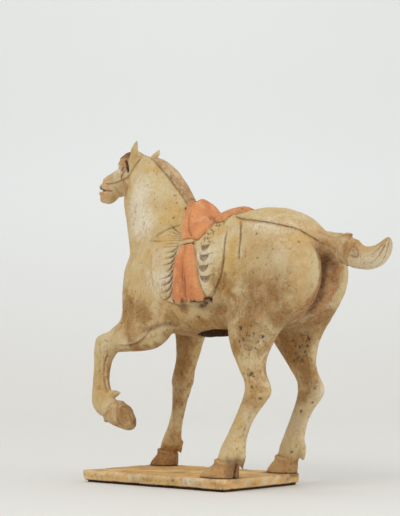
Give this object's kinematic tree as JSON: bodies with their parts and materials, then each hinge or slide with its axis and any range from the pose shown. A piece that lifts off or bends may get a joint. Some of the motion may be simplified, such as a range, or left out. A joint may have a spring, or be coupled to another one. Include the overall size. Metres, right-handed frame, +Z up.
{
  "type": "chinese tomb horse",
  "caption": "Painted earthenware tomb horse with saddle, blanket and bound tail, prancing with its left foreleg raised on a thin slab plinth.",
  "frame": {"origin": "middle of the plinth's underside", "axes": "+X forward, towards the horse's head, +Y the horse's left, +Z up"},
  "size_m": [0.4941, 0.163, 0.4714],
  "materials": {
    "painted_clay": "matte, worn white slip and ochre pigment over earthenware",
    "plinth_clay": "matte, worn earthenware with pale rubbed edges"
  },
  "bodies": {
    "root": {"horse": "painted_clay", "plinth": "plinth_clay"}
  },
  "joints": []
}
